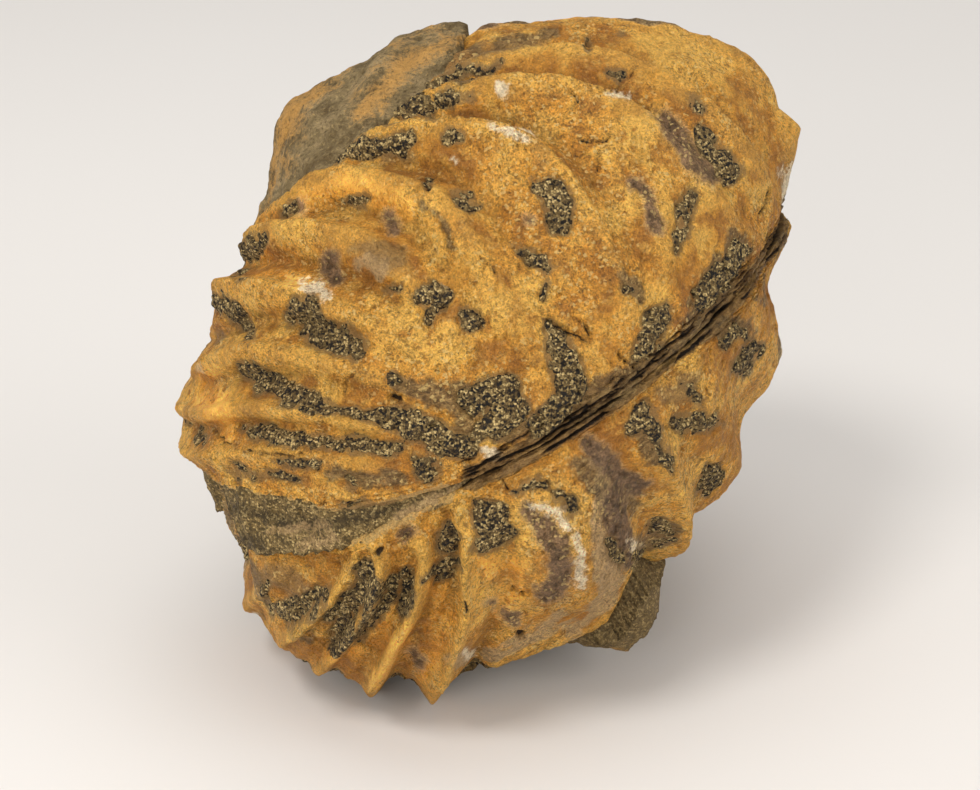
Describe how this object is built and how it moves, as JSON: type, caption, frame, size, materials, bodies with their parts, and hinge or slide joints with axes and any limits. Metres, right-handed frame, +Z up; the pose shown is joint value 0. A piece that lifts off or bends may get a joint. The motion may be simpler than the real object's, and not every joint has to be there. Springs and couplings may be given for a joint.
{
  "type": "fossil bivalve",
  "caption": "Fossil bivalve, its strongly ribbed valves closed on a fill of grey sandstone that bulges out behind and forms the foot it rests on.",
  "frame": {"origin": "centre of the bounding box on the plane that the fossil rests on", "axes": "+Z up from the resting face, +X towards the right end where the seam is highest, +Y to the back; the front, where the seam shows, faces -Y"},
  "size_m": [0.0824, 0.0832, 0.0833],
  "materials": {
    "upper_shell": "satin, pitted calcite with sandstone stuck in the furrows",
    "lower_shell": "satin, worn calcite with growth lines",
    "sandstone": "matt, coarse grains"
  },
  "bodies": {
    "root": {"upper_valve": "upper_shell", "lower_valve": "lower_shell", "rock_matrix": "sandstone"}
  },
  "joints": []
}
